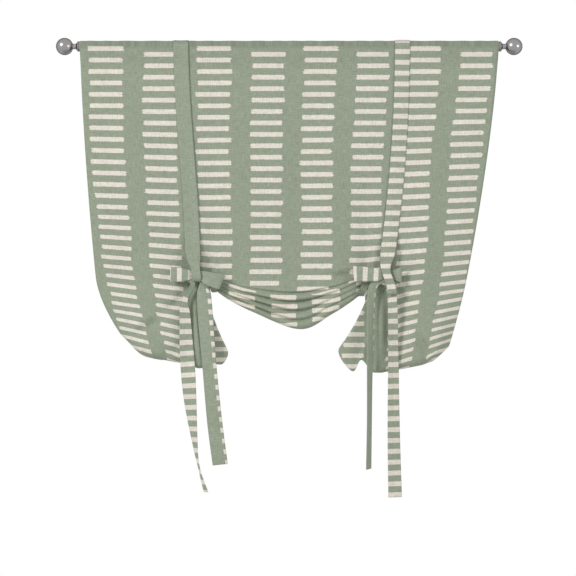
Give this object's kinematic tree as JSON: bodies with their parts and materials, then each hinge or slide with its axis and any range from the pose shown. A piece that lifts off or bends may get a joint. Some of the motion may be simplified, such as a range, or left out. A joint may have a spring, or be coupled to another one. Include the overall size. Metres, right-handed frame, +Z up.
{
  "type": "tie-up curtain",
  "caption": "Cloth window panel on a telescoping rod, gathered up by long ties knotted in bows at each side, with a low swag between hanging side parts.",
  "frame": {"origin": "on the rod's axis, midway between the panel's side edges", "axes": "+X along the rod to the right seen from the room, +Y from the room towards the wall, +Z up"},
  "size_m": [1.3036, 0.0977, 1.278],
  "materials": {
    "printed_cloth": "matte linen-look weave, sage green with columns of short cream dashes",
    "green_cloth": "matte linen-look weave, plain sage green",
    "printed_tie": "matte linen-look weave, sage green crossed by cream dashes",
    "rod_steel": "brushed nickel plate",
    "finial_metal": "satin nickel plate",
    "plug_plastic": "moulded black plastic"
  },
  "bodies": {
    "curtain_and_rod": {"curtain_panel": "printed_cloth", "left_front_tie": "green_cloth", "left_back_tie": "printed_tie", "left_knot": "green_cloth", "right_front_tie": "printed_tie", "right_back_tie": "green_cloth", "right_knot": "printed_tie", "rod_outer_tube": "rod_steel", "left_plug": "plug_plastic", "left_finial": "finial_metal"},
    "rod_right_section": {"rod_inner_tube": "rod_steel", "right_plug": "plug_plastic", "right_finial": "finial_metal"}
  },
  "joints": [
    {"name": "rod_extend", "type": "slide", "parent": "curtain_and_rod", "child": "rod_right_section", "axis": [1, 0, 0], "range_m": [0, 0.45]}
  ]
}
